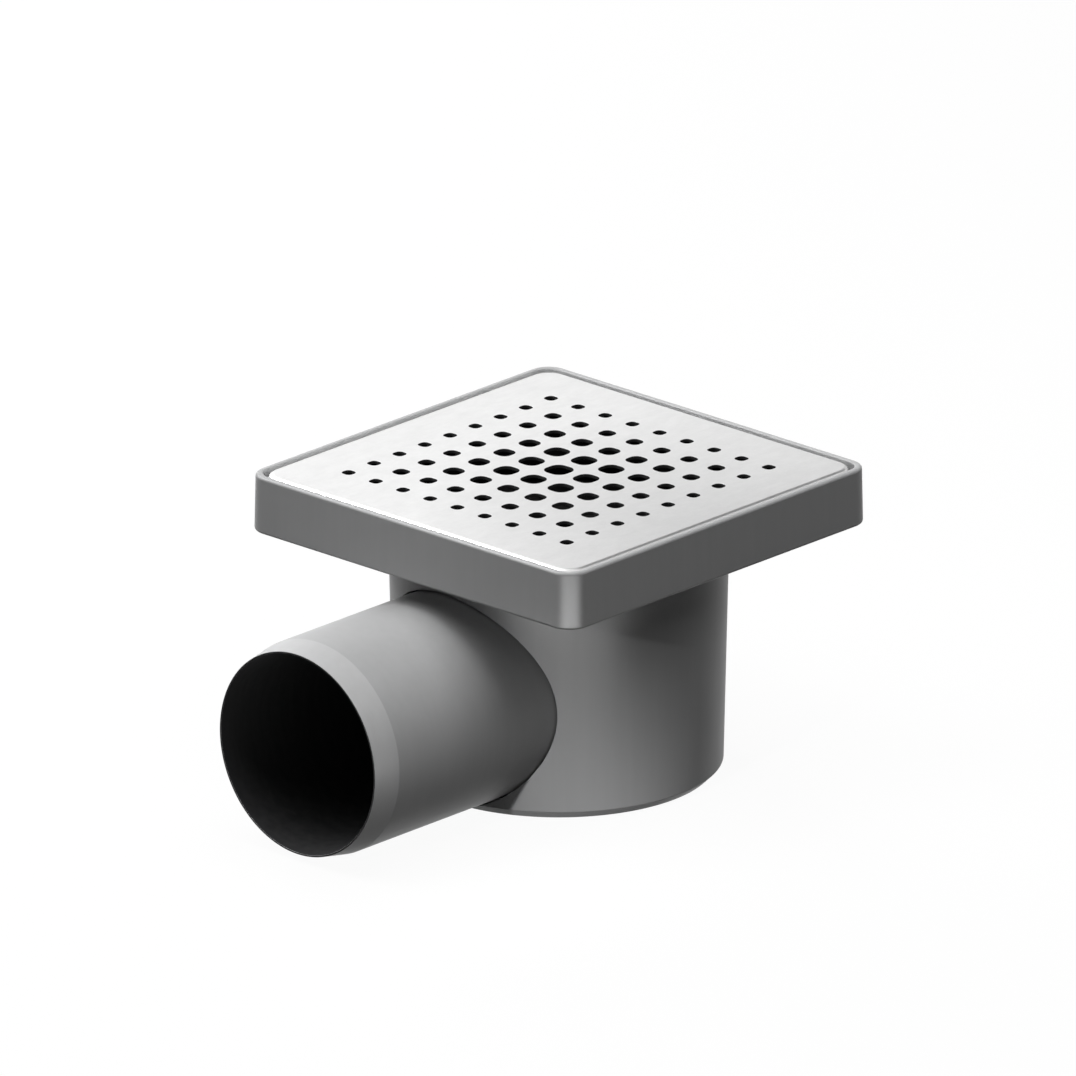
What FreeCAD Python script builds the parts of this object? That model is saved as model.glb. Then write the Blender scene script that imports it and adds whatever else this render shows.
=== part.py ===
import FreeCAD, Part
import math
import os
from FreeCAD import Rotation, Vector
from Sketcher import Constraint

# Gully trap for a wet room floor: a square frame with a perforated steel grate over a round pot,
# a side outlet for a 50 mm drain pipe, and a lift-out cup trap that keeps the drain's air back.
# The origin is the centre of the pot's base. +Z is up and the outlet points along -Y.

# Driving dimensions, in millimetres and degrees.
SIZES = {
    # Frame: side and corner radius at the skirt's lower edge, walls, recess, tray and neck.
    "total_height": 70.5,
    "frame_side": 100.0,
    "frame_depth": 13.5,
    "frame_draft": 1.25,
    "frame_corner_radius": 5.4,
    "frame_edge_chamfer": 0.6,
    "rim_wall": 1.6,
    "skirt_wall": 1.6,
    "ledge_width": 4.2,
    "ledge_thickness": 1.6,
    "tray_wall": 1.6,
    "tray_depth": 4.8,
    "tray_fall": 0.9,
    "tray_floor": 1.9,
    "neck_length": 7.6,
    "neck_wall": 2.0,
    "neck_end_gap": 0.3,
    "lip_width": 2.5,
    "lip_thickness": 1.5,
    "web_thickness": 1.5,
    "web_spacing": 28.0,
    "web_setback": 0.5,
    # Pot: outer radius at its top edge, draft, walls and base.
    "pot_top_radius": 38.45,
    "pot_draft": 1.3,
    "pot_wall": 2.8,
    "mouth_wall": 2.6,
    "pot_floor": 2.5,
    "base_chamfer": 2.0,
    "glue_gap": 0.08,
    # Outlet: a spigot that fills the height between the pot's base and its mouth, with a long
    # chamfer, a slightly thicker root and a tail in the pot's wall.
    "outlet_foot": 0.5,
    "outlet_headroom": 0.25,
    "outlet_wall": 1.6,
    "outlet_reach": 86.0,
    "outlet_chamfer": 6.8,
    "outlet_lip": 0.4,
    "outlet_root_land": 1.05,
    "outlet_root_rise": 0.5,
    "tail_wall": 1.0,
    # Grate: sheet, folded edge and gap to the rim, then the holes from the middle outwards.
    "grate_gap": 0.35,
    "grate_sink": 0.25,
    "grate_sheet": 0.8,
    "grate_depth": 4.0,
    "grate_edge_radius": 1.4,
    "grate_corner_radius": 5.2,
    "hole_pitch": 8.35,
    "hole_side_0": 6.15,
    "hole_side_1": 5.5,
    "hole_side_2": 4.6,
    "hole_side_3": 3.7,
    "hole_side_4": 2.9,
    "hole_corner_cut": 0.255,
    # Trap: seal ring, funnel with its dip tube, lugs and grip bar, then the cup with its ribs.
    "seal_thickness": 1.5,
    "seal_margin": 0.3,
    "flange_gap": 0.4,
    "flange_thickness": 1.6,
    "flange_width": 3.2,
    "funnel_drop": 2.6,
    "dip_radius": 17.0,
    "dip_wall": 1.5,
    "dip_gap": 8.0,
    "lug_length": 2.2,
    "lug_width": 5.0,
    "lug_height": 2.0,
    "lug_rise": 5.5,
    "lug_gap": 0.15,
    "bar_span": 48.0,
    "bar_leg": 4.0,
    "bar_width": 3.0,
    "bar_thickness": 2.5,
    "bar_rise": 5.6,
    "bar_chamfer": 2.0,
    "cup_radius": 26.0,
    "cup_wall": 1.5,
    "cup_floor": 1.5,
    "cup_clearance": 2.5,
    "water_seal": 30.0,
    "rib_thickness": 2.0,
    "rib_seat": 3.5,
    "rib_gap": 0.2,
    "rib_hook": 2.4,
    # How far a web, rib, lug or leg runs into the wall that it grows from.
    "root_overlap": 0.4,
}

# Heights, radii and sides that follow from the driving dimensions.
PLACES = {
    "frame_bottom": "total_height - frame_depth",
    "rim_side": "frame_side - 2 * frame_depth * tan(frame_draft * 1 deg)",
    "recess_side": "rim_side - 2 * rim_wall",
    "recess_corner": "frame_corner_radius - rim_wall",
    "grate_top": "total_height - grate_sink",
    "ledge_top": "grate_top - grate_depth",
    "recess_depth": "total_height - ledge_top",
    "ledge_bottom": "ledge_top - ledge_thickness",
    "tray_side": "recess_side - 2 * ledge_width",
    "tray_half": "tray_side / 2",
    "tray_outer_side": "tray_side + 2 * tray_wall",
    "tray_outer_corner": "recess_corner + tray_wall",
    "tray_edge_height": "ledge_top - tray_depth",
    "throat_height": "tray_edge_height - tray_fall",
    "seat_height": "throat_height - tray_floor",
    "underside_depth": "seat_height - frame_bottom",
    "skirt_inner_side": "frame_side - 2 * skirt_wall",
    "skirt_inner_corner": "frame_corner_radius - skirt_wall",
    "groove_depth": "ledge_bottom - frame_bottom",
    "web_bottom": "frame_bottom + web_setback",
    "web_height": "ledge_bottom - web_bottom + root_overlap",
    "web_inner": "tray_outer_side / 2 - root_overlap",
    "web_outer": "skirt_inner_side / 2 + root_overlap",
    "web_near": "web_spacing - web_thickness / 2",
    "web_far": "web_spacing + web_thickness / 2",
    "mouth_radius": "pot_top_radius - mouth_wall",
    "neck_radius": "mouth_radius - glue_gap",
    "neck_bore": "neck_radius - neck_wall",
    "neck_bottom": "seat_height - neck_length",
    "neck_root": "seat_height + root_overlap",
    "lip_bore": "neck_bore - lip_width",
    "lip_top": "neck_bottom + lip_thickness",
    "mouth_bottom": "neck_bottom - neck_end_gap",
    "draft_slope": "tan(pot_draft * 1 deg)",
    "base_edge_radius": "pot_top_radius - (seat_height - base_chamfer) * draft_slope",
    "base_radius": "base_edge_radius - base_chamfer",
    "cavity_radius": "base_edge_radius - pot_wall",
    "shoulder_top_radius": "pot_top_radius + glue_gap",
    "shoulder_edge_radius": "base_edge_radius + glue_gap",
    "shoulder_base_radius": "base_radius + glue_gap",
    "outlet_radius": "(mouth_bottom - outlet_headroom - outlet_foot) / 2",
    "outlet_height": "outlet_foot + outlet_radius",
    "outlet_bore": "outlet_radius - outlet_wall",
    "outlet_lip_radius": "outlet_bore + outlet_lip",
    "outlet_straight": "outlet_reach - outlet_chamfer",
    "outlet_root_radius": "outlet_radius + outlet_root_rise",
    "outlet_root_end": "pot_top_radius + outlet_root_land",
    "tail_radius": "outlet_bore + tail_wall",
    "tail_hole_radius": "tail_radius + glue_gap",
    "tail_root": "pot_top_radius + root_overlap",
    "tail_end_radius": "cavity_radius + glue_gap",
    "grate_side": "recess_side - 2 * grate_gap",
    "grate_inner_side": "grate_side - 2 * grate_sheet",
    "grate_inner_corner": "grate_corner_radius - grate_sheet",
    "grate_inner_depth": "grate_depth - grate_sheet",
    "hole_cut": "2 * grate_sheet",
    "seal_bore": "lip_bore + seal_margin",
    "seal_radius": "neck_bore - seal_margin",
    "flange_bottom": "lip_top + seal_thickness",
    "flange_top": "flange_bottom + flange_thickness",
    "flange_radius": "neck_bore - flange_gap",
    "flange_bore": "flange_radius - flange_width",
    "dip_bore": "dip_radius - dip_wall",
    "funnel_low": "flange_bottom - funnel_drop",
    "funnel_low_top": "flange_top - funnel_drop",
    "cup_bottom": "pot_floor + cup_clearance",
    "cup_floor_top": "cup_bottom + cup_floor",
    "dip_end": "cup_floor_top + dip_gap",
    "cup_rim": "dip_end + water_seal",
    "cup_bore": "cup_radius - cup_wall",
    "lug_bottom": "dip_end + lug_rise",
    "lug_top": "lug_bottom + lug_height",
    "lug_inner": "dip_radius - root_overlap",
    "lug_outer": "dip_radius + lug_length",
    "bar_half": "bar_span / 2",
    "bar_leg_inner": "bar_half - bar_leg",
    "funnel_slope": "funnel_drop / (flange_bore - dip_radius)",
    "bar_foot": "flange_bottom + flange_thickness / 2 - (flange_bore - bar_half + bar_leg / 2) * funnel_slope",
    "bar_top": "flange_top + bar_rise",
    "bar_under": "bar_top - bar_thickness",
    "bar_corner_side": "bar_half - bar_chamfer",
    "bar_corner_height": "bar_top - bar_chamfer",
    "rib_inner": "dip_radius - rib_seat",
    "rib_foot": "cup_floor_top - root_overlap",
    "rib_outer": "cup_bore + root_overlap",
    "rib_face": "dip_radius + rib_gap",
    "slot_outer": "lug_outer + rib_gap",
    "slot_bottom": "lug_bottom - lug_gap",
    "slot_top": "lug_top + lug_gap",
    "rib_top": "slot_top + rib_hook",
}

# Edges of a hole and ends of its corner cuts, as shares of its side from the hole's centre.
HOLE_PLACES = {
    "near": "-0.5",
    "near_cut": "hole_corner_cut - 0.5",
    "far_cut": "0.5 - hole_corner_cut",
    "far": "0.5",
}

document = FreeCAD.newDocument("gully_trap")
sheet = document.addObject("Spreadsheet::Sheet", "Sizes")


def fill_sheet():
    """Write the driving dimensions as plain numbers and the places that follow as formulas."""
    rows = list(SIZES.items()) + [(name, "=" + formula) for name, formula in PLACES.items()]
    for row, (name, content) in enumerate(rows, start=1):
        sheet.set(f"A{row}", name)
        sheet.set(f"B{row}", str(content))
        sheet.setAlias(f"B{row}", name)
    document.recompute()


def number(name):
    """The value that the sheet holds for a name."""
    return 0.0 if name == "0" else float(sheet.get(name))


def bind(thing, prop, name):
    """Tie a property or a constraint to one cell of the sheet."""
    thing.setExpression(prop, f"Sizes.{name}")


def new_body(name):
    body = document.addObject("PartDesign::Body", name + "_body")
    body.Label = name
    return body


def origin_item(body, role):
    """A plane or an axis of the body's own origin."""
    return next(item for item in body.Origin.OriginFeatures if item.Role == role)


def new_sketch(body, name, plane, height=None):
    """A sketch on one of the body's planes, or on the XY plane raised to a named height."""
    sketch = body.newObject("Sketcher::SketchObject", name)
    sketch.AttachmentSupport = [(origin_item(body, plane), "")]
    sketch.MapMode = "FlatFace"
    if height:
        bind(sketch, "AttachmentOffset.Base.z", height)
    return sketch


def constrain(sketch, name, *parts):
    """Add a constraint whose value is a cell of the sheet."""
    index = sketch.addConstraint(Constraint(*parts, number(name)))
    bind(sketch, f"Constraints[{index}]", name)


def place_point(sketch, line, end, across, up):
    """Hold one end of a line at a named distance across and up from the sketch's origin."""
    if across == "0":
        sketch.addConstraint(Constraint("PointOnObject", line, end, -2))
    else:
        constrain(sketch, across, "DistanceX", -1, 1, line, end)
    if up == "0":
        sketch.addConstraint(Constraint("PointOnObject", line, end, -1))
    else:
        constrain(sketch, up, "DistanceY", -1, 1, line, end)


def outline(body, name, plane, corners, height=None):
    """A closed outline of straight lines through corners named in the sheet."""
    sketch = new_sketch(body, name, plane, height)
    points = [Vector(number(across), number(up), 0) for across, up in corners]
    count = len(points)
    for i in range(count):
        sketch.addGeometry(Part.LineSegment(points[i], points[(i + 1) % count]))
    for i in range(count):
        sketch.addConstraint(Constraint("Coincident", i, 2, (i + 1) % count, 1))
    for i, (across, up) in enumerate(corners):
        place_point(sketch, i, 1, across, up)
    return sketch


def rounded_square(sketch, side, radius):
    """Four lines and four corner arcs, centred on the sketch's origin."""
    half = number(side) / 2
    r = number(radius)
    flat = half - r
    first = sketch.GeometryCount
    ends = [
        (-flat, -half, flat, -half),
        (half, -flat, half, flat),
        (flat, half, -flat, half),
        (-half, flat, -half, -flat),
    ]
    for x1, y1, x2, y2 in ends:
        sketch.addGeometry(Part.LineSegment(Vector(x1, y1, 0), Vector(x2, y2, 0)))
    for x, y, begin in ((flat, -flat, 270), (flat, flat, 0), (-flat, flat, 90), (-flat, -flat, 180)):
        circle = Part.Circle(Vector(x, y, 0), Vector(0, 0, 1), r)
        sketch.addGeometry(Part.ArcOfCircle(circle, math.radians(begin), math.radians(begin + 90)))
    for i in range(4):
        line, arc, after = first + i, first + 4 + i, first + (i + 1) % 4
        sketch.addConstraint(Constraint("Tangent", line, 2, arc, 1))
        sketch.addConstraint(Constraint("Tangent", arc, 2, after, 1))
        sketch.addConstraint(Constraint("Vertical" if i % 2 else "Horizontal", line))
    for i in range(3):
        sketch.addConstraint(Constraint("Equal", first + 4 + i, first + 5 + i))
    constrain(sketch, radius, "Radius", first + 4)
    constrain(sketch, side, "DistanceX", first + 3, 1, first + 1, 1)
    constrain(sketch, side, "DistanceY", first, 1, first + 2, 1)
    sketch.addConstraint(Constraint("Symmetric", first + 4, 3, first + 6, 3, -1, 1))


def square_sketch(body, name, height, *squares):
    """A sketch at a named height with one rounded square, or two for a ring."""
    sketch = new_sketch(body, name, "XY_Plane", height)
    for side, radius in squares:
        rounded_square(sketch, side, radius)
    return sketch


def extrude(body, kind, name, sketch, length, reverse=False):
    """A Pad or a Pocket of a named length. A plain Pocket cuts down, a reversed one up."""
    feature = body.newObject("PartDesign::" + kind, name)
    feature.Profile = sketch
    bind(feature, "Length", length)
    feature.Reversed = reverse
    document.recompute()
    return feature


def turn(body, kind, name, sketch):
    """A Revolution or a Groove all the way round the sketch's upright axis."""
    feature = body.newObject("PartDesign::" + kind, name)
    feature.Profile = sketch
    feature.ReferenceAxis = (sketch, ["V_Axis"])
    feature.Angle = 360.0
    document.recompute()
    return feature


def soften(body, kind, name, size, height):
    """A Fillet or a Chamfer of a named size on the body's edges that lie flat at a named height."""
    tip = body.Tip
    level = number(height)
    names = []
    for i, edge in enumerate(tip.Shape.Edges, start=1):
        box = edge.BoundBox
        if max(abs(box.ZMin - level), abs(box.ZMax - level)) < 1e-4:
            names.append(f"Edge{i}")
    feature = body.newObject("PartDesign::" + kind, name)
    feature.Base = (tip, names)
    bind(feature, "Radius" if kind == "Fillet" else "Size", size)
    document.recompute()
    return feature


def polar(body, name, feature, copies):
    """Repeat a feature evenly about the body's upright axis."""
    pattern = body.newObject("PartDesign::PolarPattern", name)
    pattern.Originals = [feature]
    pattern.Axis = (origin_item(body, "Z_Axis"), [""])
    pattern.Angle = 360.0
    pattern.Occurrences = copies
    body.Tip = pattern
    document.recompute()
    return pattern


def square_ring(body, name, feature, axis, spacing, along):
    """Repeat a feature in a row along an axis, and that row on all four sides."""
    ring = body.newObject("PartDesign::MultiTransform", name)
    ring.Originals = [feature]
    row = document.addObject("PartDesign::LinearPattern", name + "_row")
    row.Direction = (origin_item(body, axis), [""])
    row.Reversed = True
    row.Mode = "Spacing"
    bind(row, "Offset", spacing)
    row.Occurrences = along
    sides = document.addObject("PartDesign::PolarPattern", name + "_sides")
    sides.Axis = (origin_item(body, "Z_Axis"), [""])
    sides.Angle = 360.0
    sides.Occurrences = 4
    body.addObject(row)
    body.addObject(sides)
    ring.Transformations = [row, sides]
    body.Tip = ring
    document.recompute()
    return ring


def cylinder(name, radius, length, sideways=False):
    """A cylinder up from the base's centre, or outwards along the outlet's axis."""
    tool = document.addObject("Part::Cylinder", name)
    bind(tool, "Radius", radius)
    bind(tool, "Height", length)
    if sideways:
        tool.Placement.Rotation = Rotation(Vector(1, 0, 0), 90)
        bind(tool, "Placement.Base.z", "outlet_height")
    return tool


def boolean(kind, name, base, tool):
    """A Cut or a Fuse of two objects."""
    result = document.addObject("Part::" + kind, name)
    result.Base = base
    result.Tool = tool
    result.Label = name
    return result


def make_frame():
    """Square frame: drafted skirt, recess for the grate, draining tray and a neck for the pot."""
    body = new_body("frame")
    block = square_sketch(body, "skirt_outline", "frame_bottom", ("frame_side", "frame_corner_radius"))
    pad = extrude(body, "Pad", "skirt", block, "frame_depth")
    pad.setExpression("TaperAngle", "-Sizes.frame_draft")
    document.recompute()
    soften(body, "Chamfer", "rim_edge", "frame_edge_chamfer", "total_height")
    recess = square_sketch(body, "recess_outline", "total_height", ("recess_side", "recess_corner"))
    extrude(body, "Pocket", "recess", recess, "recess_depth")
    tray = square_sketch(body, "tray_outline", "ledge_top", ("tray_side", "recess_corner"))
    extrude(body, "Pocket", "tray", tray, "tray_depth")
    below = square_sketch(body, "below_outline", "frame_bottom", ("tray_outer_side", "tray_outer_corner"))
    extrude(body, "Pocket", "below_tray", below, "underside_depth", reverse=True)
    walls = (("skirt_inner_side", "skirt_inner_corner"), ("tray_outer_side", "tray_outer_corner"))
    gap = square_sketch(body, "skirt_gap_outline", "frame_bottom", *walls)
    extrude(body, "Pocket", "skirt_gap", gap, "groove_depth", reverse=True)
    neck = [
        ("lip_bore", "neck_bottom"),
        ("neck_radius", "neck_bottom"),
        ("neck_radius", "neck_root"),
        ("lip_bore", "neck_root"),
    ]
    turn(body, "Revolution", "neck", outline(body, "neck_section", "XZ_Plane", neck))
    throat = [
        ("0", "tray_edge_height"),
        ("tray_half", "tray_edge_height"),
        ("neck_bore", "throat_height"),
        ("neck_bore", "lip_top"),
        ("lip_bore", "lip_top"),
        ("lip_bore", "neck_bottom"),
        ("0", "neck_bottom"),
    ]
    turn(body, "Groove", "throat", outline(body, "throat_section", "XZ_Plane", throat))
    corners = [
        ("web_inner", "web_near"),
        ("web_outer", "web_near"),
        ("web_outer", "web_far"),
        ("web_inner", "web_far"),
    ]
    web = extrude(body, "Pad", "web", outline(body, "web_outline", "XY_Plane", corners, "web_bottom"), "web_height")
    square_ring(body, "webs", web, "Y_Axis", "web_spacing", 3)
    return body


def make_grate():
    """Pressed grate: a sheet folded down all round, with rings of holes cut square at the corners."""
    body = new_body("grate")
    block = square_sketch(body, "grate_outline", "ledge_top", ("grate_side", "grate_corner_radius"))
    extrude(body, "Pad", "plate", block, "grate_depth")
    soften(body, "Fillet", "fold", "grate_edge_radius", "grate_top")
    inside = square_sketch(body, "inside_outline", "ledge_top", ("grate_inner_side", "grate_inner_corner"))
    extrude(body, "Pocket", "inside", inside, "grate_inner_depth", reverse=True)
    for ring in range(5):
        near, near_cut, far_cut, far = [f"hole_{place}_{ring}" for place in HOLE_PLACES]
        corners = [
            (near_cut, near),
            (far_cut, near),
            (far, near_cut),
            (far, far_cut),
            (far_cut, far),
            (near_cut, far),
            (near, far_cut),
            (near, near_cut),
        ]
        sketch = outline(body, f"hole_outline_{ring}", "XY_Plane", corners, "grate_top")
        hole = extrude(body, "Pocket", f"hole_{ring}", sketch, "hole_cut")
        if ring:
            square_ring(body, f"holes_{ring}", hole, "X_Axis", "hole_pitch", 2 * ring)
    return body


def make_pot():
    """Round pot: drafted wall, chamfered flat base, a step for the frame's neck and the tail's hole."""
    body = new_body("pot_blank")
    section = [
        ("0", "0"),
        ("base_radius", "0"),
        ("base_edge_radius", "base_chamfer"),
        ("pot_top_radius", "seat_height"),
        ("mouth_radius", "seat_height"),
        ("mouth_radius", "mouth_bottom"),
        ("cavity_radius", "mouth_bottom"),
        ("cavity_radius", "pot_floor"),
        ("0", "pot_floor"),
    ]
    turn(body, "Revolution", "wall", outline(body, "wall_section", "XZ_Plane", section))
    plug = cylinder("tail_plug", "tail_hole_radius", "outlet_reach", sideways=True)
    cavity = cylinder("pot_cavity", "cavity_radius", "seat_height")
    return boolean("Cut", "pot", body, boolean("Cut", "tail_hole", plug, cavity))


def make_outlet():
    """Outlet spigot: the pipe stops with a saddle on the pot and its tail goes through the wall."""
    pipe = new_body("outlet_pipe")
    section = [
        ("outlet_bore", "0"),
        ("outlet_root_radius", "0"),
        ("outlet_radius", "outlet_root_end"),
        ("outlet_radius", "outlet_straight"),
        ("outlet_lip_radius", "outlet_reach"),
        ("outlet_bore", "outlet_reach"),
    ]
    turn(pipe, "Revolution", "pipe_turned", outline(pipe, "pipe_section", "XZ_Plane", section))
    pipe.Placement.Rotation = Rotation(Vector(1, 0, 0), 90)
    bind(pipe, "Placement.Base.z", "outlet_height")
    shoulder = [
        ("0", "0"),
        ("shoulder_base_radius", "0"),
        ("shoulder_edge_radius", "base_chamfer"),
        ("shoulder_top_radius", "seat_height"),
        ("0", "seat_height"),
    ]
    pot_outside = new_body("pot_outside")
    shoulder_section = outline(pot_outside, "shoulder_section", "XZ_Plane", shoulder)
    turn(pot_outside, "Revolution", "shoulder_turned", shoulder_section)
    saddle = boolean("Cut", "outlet_saddle", pipe, pot_outside)
    rod = cylinder("tail_rod", "tail_radius", "tail_root", sideways=True)
    bore = cylinder("tail_bore", "outlet_bore", "outlet_reach", sideways=True)
    sleeve = boolean("Cut", "tail_sleeve", rod, bore)
    tail_end = cylinder("tail_end", "tail_end_radius", "seat_height")
    tail = boolean("Cut", "outlet_tail", sleeve, tail_end)
    return boolean("Fuse", "outlet_spigot", saddle, tail)


def make_trap_funnel():
    """Funnel of the trap: flange, shallow cone, dip tube, three lugs and a bar to lift it by."""
    body = new_body("trap_funnel")
    section = [
        ("dip_bore", "dip_end"),
        ("dip_radius", "dip_end"),
        ("dip_radius", "funnel_low"),
        ("flange_bore", "flange_bottom"),
        ("flange_radius", "flange_bottom"),
        ("flange_radius", "flange_top"),
        ("dip_bore", "funnel_low_top"),
    ]
    turn(body, "Revolution", "funnel", outline(body, "funnel_section", "XZ_Plane", section))
    half_bar = [
        ("0", "bar_top"),
        ("bar_corner_side", "bar_top"),
        ("bar_half", "bar_corner_height"),
        ("bar_half", "bar_foot"),
        ("bar_leg_inner", "bar_foot"),
        ("bar_leg_inner", "bar_under"),
        ("0", "bar_under"),
    ]
    bar = extrude(body, "Pad", "bar_half_pad", outline(body, "bar_outline", "XZ_Plane", half_bar), "bar_width")
    bar.Midplane = True
    polar(body, "bar", bar, 2)
    lug = [
        ("lug_inner", "lug_bottom"),
        ("lug_outer", "lug_bottom"),
        ("lug_outer", "lug_top"),
        ("lug_inner", "lug_top"),
    ]
    lug_pad = extrude(body, "Pad", "lug", outline(body, "lug_outline", "XZ_Plane", lug), "lug_width")
    lug_pad.Midplane = True
    polar(body, "lugs", lug_pad, 3)
    return body


def make_trap_cup():
    """Cup of the trap: it holds the water seal, and three slotted ribs hang it on the lugs."""
    body = new_body("trap_cup")
    section = [
        ("0", "cup_bottom"),
        ("cup_radius", "cup_bottom"),
        ("cup_radius", "cup_rim"),
        ("cup_bore", "cup_rim"),
        ("cup_bore", "cup_floor_top"),
        ("0", "cup_floor_top"),
    ]
    turn(body, "Revolution", "cup", outline(body, "cup_section", "XZ_Plane", section))
    rib = [
        ("rib_inner", "rib_foot"),
        ("rib_outer", "rib_foot"),
        ("rib_outer", "rib_top"),
        ("rib_face", "rib_top"),
        ("rib_face", "slot_top"),
        ("slot_outer", "slot_top"),
        ("slot_outer", "slot_bottom"),
        ("rib_face", "slot_bottom"),
        ("rib_face", "dip_end"),
        ("rib_inner", "dip_end"),
    ]
    rib_pad = extrude(body, "Pad", "rib", outline(body, "rib_outline", "XZ_Plane", rib), "rib_thickness")
    rib_pad.Midplane = True
    polar(body, "ribs", rib_pad, 3)
    return body


def make_trap_seal():
    """Flat rubber ring between the funnel's flange and the lip in the frame's neck."""
    body = new_body("trap_seal")
    section = [
        ("seal_bore", "lip_top"),
        ("seal_radius", "lip_top"),
        ("seal_radius", "flange_bottom"),
        ("seal_bore", "flange_bottom"),
    ]
    turn(body, "Revolution", "ring", outline(body, "ring_section", "XZ_Plane", section))
    return body


def check(pieces):
    """Stop if any object failed to compute or a piece isn't one valid solid."""
    for item in document.Objects:
        if "Invalid" in item.State or "Error" in item.State:
            raise RuntimeError(f"{item.Name} is {item.State}")
    for name, piece in pieces.items():
        shape = piece.Shape
        if shape.isNull() or not shape.isValid() or len(shape.Solids) != 1:
            raise RuntimeError(f"{name} is not one valid solid")


def export(pieces):
    """Write each piece to its own file and print its volume and size."""
    os.makedirs("parts", exist_ok=True)
    for name, piece in pieces.items():
        box = piece.Shape.BoundBox
        size = f"{box.XLength:.2f} x {box.YLength:.2f} x {box.ZLength:.2f} mm"
        print(f"{name}: {piece.Shape.Volume:.1f} mm3, {size}")
        piece.Shape.exportStep(f"parts/{name}.step")


for ring in range(5):
    for place, share in HOLE_PLACES.items():
        PLACES[f"hole_{place}_{ring}"] = f"{ring} * hole_pitch + ({share}) * hole_side_{ring}"
fill_sheet()
PIECES = {
    "grate": make_grate(),
    "frame": make_frame(),
    "pot": make_pot(),
    "outlet_spigot": make_outlet(),
    "trap_funnel": make_trap_funnel(),
    "trap_cup": make_trap_cup(),
    "trap_seal": make_trap_seal(),
}
document.recompute()
check(PIECES)
export(PIECES)
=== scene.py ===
import math
import bmesh
import bpy
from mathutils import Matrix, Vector


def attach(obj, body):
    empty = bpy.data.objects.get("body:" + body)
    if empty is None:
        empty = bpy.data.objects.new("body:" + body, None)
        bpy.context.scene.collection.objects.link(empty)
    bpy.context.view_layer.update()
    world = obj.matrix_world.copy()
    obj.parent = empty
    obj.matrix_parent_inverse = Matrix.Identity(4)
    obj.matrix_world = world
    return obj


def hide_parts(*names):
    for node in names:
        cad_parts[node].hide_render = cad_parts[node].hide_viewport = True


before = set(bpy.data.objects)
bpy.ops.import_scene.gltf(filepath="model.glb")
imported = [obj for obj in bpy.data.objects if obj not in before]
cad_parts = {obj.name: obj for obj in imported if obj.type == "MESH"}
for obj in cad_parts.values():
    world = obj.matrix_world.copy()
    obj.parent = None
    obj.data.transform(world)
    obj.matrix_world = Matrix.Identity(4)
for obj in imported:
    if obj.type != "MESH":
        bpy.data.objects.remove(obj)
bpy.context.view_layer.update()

# Pot: the round body under the floor, moulded in grey plastic with a little draft, so it is
# narrower towards its chamfered base. A hole in its side takes the outlet. It stands on its base,
# and the frame's neck is glued into its mouth.
POT_TOP_RADIUS = 0.03845
POT_TOP = 0.05865
POT_EDGE_RADIUS = 0.037164
POT_CHAMFER = 0.002
POT_WALL = 0.0028
POT_CAVITY_RADIUS = POT_EDGE_RADIUS - POT_WALL
POT_MOUTH_RADIUS = 0.03585
POT_MOUTH_DEPTH = 0.0079
POT_STEP = POT_TOP - POT_MOUTH_DEPTH
POT_FLOOR = 0.0025
POT_BASE_ROUNDING = 0.0002
POT_CHAMFER_ROUNDING = 0.0004
POT_RIM_ROUNDING = 0.0003
POT_STEP_ROUNDING = 0.0001
POT_CAVITY_ROUNDING = 0.0003
POT_FLOOR_ROUNDING = 0.0010
POT_FACETS = 288
POT_CREASE = math.radians(25)
OUTLET_HEIGHT = 0.0255
OUTLET_HOLE_RADIUS = 0.02540
PLUG_INSET = 0.00002
PLUG_OVERRUN = 0.004
PLUG_FACETS = 240
WELD = 0.0000001
COLLAPSE = 0.00000001
CREASE = math.radians(32)
HOUSING_GREY = (0.425, 0.427, 0.430, 1.0)
HOUSING_SHADE = (0.410, 0.412, 0.415, 1.0)
HOUSING_ROUGHNESS = (0.38, 0.48)
PLAIN_SPECULAR = 0.16
EVEN = (1.0, 1.0, 1.0)
STREAK_STRETCH = (1.0, 1.0, 0.06)
STREAK_SCALE = 420.0
STREAK_DETAIL = 3.0
STREAK_RELIEF = (0.05, 0.00003)
GRAIN_SCALE = 3200.0
GRAIN_DETAIL = 2.0
GRAIN_RELIEF = (0.20, 0.00002)
CLOUD_SCALE = 60.0
CLOUD_DETAIL = 3.0
RAMP_START = 0.3
RAMP_END = 0.7


def rounded_outline(corners, steps=5):
    """Turn a closed outline of (across, up, radius) corners into points with small arcs."""
    points = []
    count = len(corners)
    for i, (across, up, radius) in enumerate(corners):
        here = Vector((across, up))
        if radius == 0.0:
            points.append((across, up))
            continue
        before = Vector(corners[i - 1][:2]) - here
        after = Vector(corners[(i + 1) % count][:2]) - here
        before.normalize()
        after.normalize()
        half = before.angle(after) / 2
        start = here + before * (radius / math.tan(half))
        finish = here + after * (radius / math.tan(half))
        centre = here + (before + after).normalized() * (radius / math.sin(half))
        turn_start = math.atan2(start.y - centre.y, start.x - centre.x)
        turn_end = math.atan2(finish.y - centre.y, finish.x - centre.x)
        sweep = (turn_end - turn_start + math.pi) % math.tau - math.pi
        for step in range(steps + 1):
            turn = turn_start + sweep * step / steps
            points.append((centre.x + radius * math.cos(turn), centre.y + radius * math.sin(turn)))
    return points


def points_of(rings):
    """The points of all rings in one list."""
    return [point for ring in rings for point in ring]


def skin_faces(rings, first=0, closed=True):
    """Quads from ring to ring of equal length, and from the last to the first if closed."""
    count = len(rings[0])
    faces = []
    for i in range(len(rings) if closed else len(rings) - 1):
        here = first + i * count
        after = first + (i + 1) % len(rings) * count
        for j in range(count):
            k = (j + 1) % count
            faces.append((here + j, here + k, after + k, after + j))
    return faces


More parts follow.
